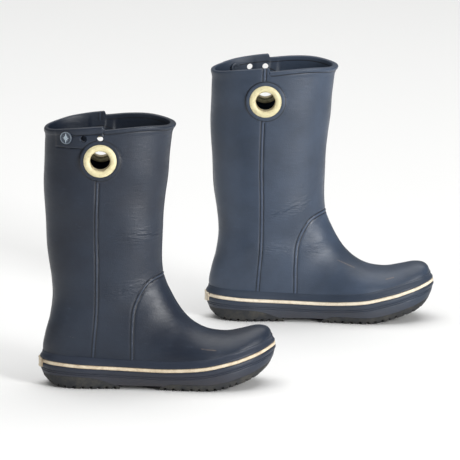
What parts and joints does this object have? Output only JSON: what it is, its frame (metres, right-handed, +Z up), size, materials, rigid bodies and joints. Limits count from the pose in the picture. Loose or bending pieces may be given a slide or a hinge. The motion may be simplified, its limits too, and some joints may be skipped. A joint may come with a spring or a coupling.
{
  "type": "deck boots",
  "caption": "Pair of tall moulded foam pull-on deck boots with cupped soles, grooved rubber treads, pull rings in the shaft and a round badge.",
  "frame": {"origin": "on the floor, under the middle of the pair's overall box", "axes": "+X towards the toes, +Y from the right boot to the left boot, +Z up"},
  "size_m": [0.4875, 0.4784, 0.3265],
  "materials": {
    "navy_foam": "matt closed-cell foam",
    "cream_plastic": "satin",
    "cream_stripe": "matt",
    "dark_rubber": "matt",
    "insole_foam": "matt",
    "badge_plastic": "satin"
  },
  "bodies": {
    "right_boot": {"right_upper": "navy_foam", "right_midsole": "navy_foam", "right_stripe": "cream_stripe", "right_heel_label": "cream_stripe", "right_heel_tread": "dark_rubber", "right_forefoot_tread": "dark_rubber", "right_insole": "insole_foam", "right_outer_pull_ring": "cream_plastic", "right_outer_ring_retainer": "cream_plastic", "right_inner_pull_ring": "cream_plastic", "right_inner_ring_retainer": "cream_plastic"},
    "right_badge": {"right_badge": "badge_plastic", "right_badge_cap": "badge_plastic"},
    "left_boot": {"left_upper": "navy_foam", "left_midsole": "navy_foam", "left_stripe": "cream_stripe", "left_heel_label": "cream_stripe", "left_heel_tread": "dark_rubber", "left_forefoot_tread": "dark_rubber", "left_insole": "insole_foam", "left_outer_pull_ring": "cream_plastic", "left_outer_ring_retainer": "cream_plastic", "left_inner_pull_ring": "cream_plastic", "left_inner_ring_retainer": "cream_plastic"},
    "left_badge": {"left_badge": "badge_plastic", "left_badge_cap": "badge_plastic"}
  },
  "joints": [
    {"name": "left_boot_lift", "type": "slide", "parent": "right_boot", "child": "left_boot", "axis": [0, 0, 1], "range_m": [0, 0.36]},
    {"name": "right_badge_turn", "type": "hinge", "parent": "right_boot", "child": "right_badge", "pos_m": [-0.20735, -0.22468, 0.311], "axis": [-0.4553, -0.8903, 0], "continuous": true},
    {"name": "left_badge_turn", "type": "hinge", "parent": "left_boot", "child": "left_badge", "pos_m": [-0.00735, 0.22468, 0.311], "axis": [-0.4553, 0.8903, 0], "continuous": true}
  ]
}
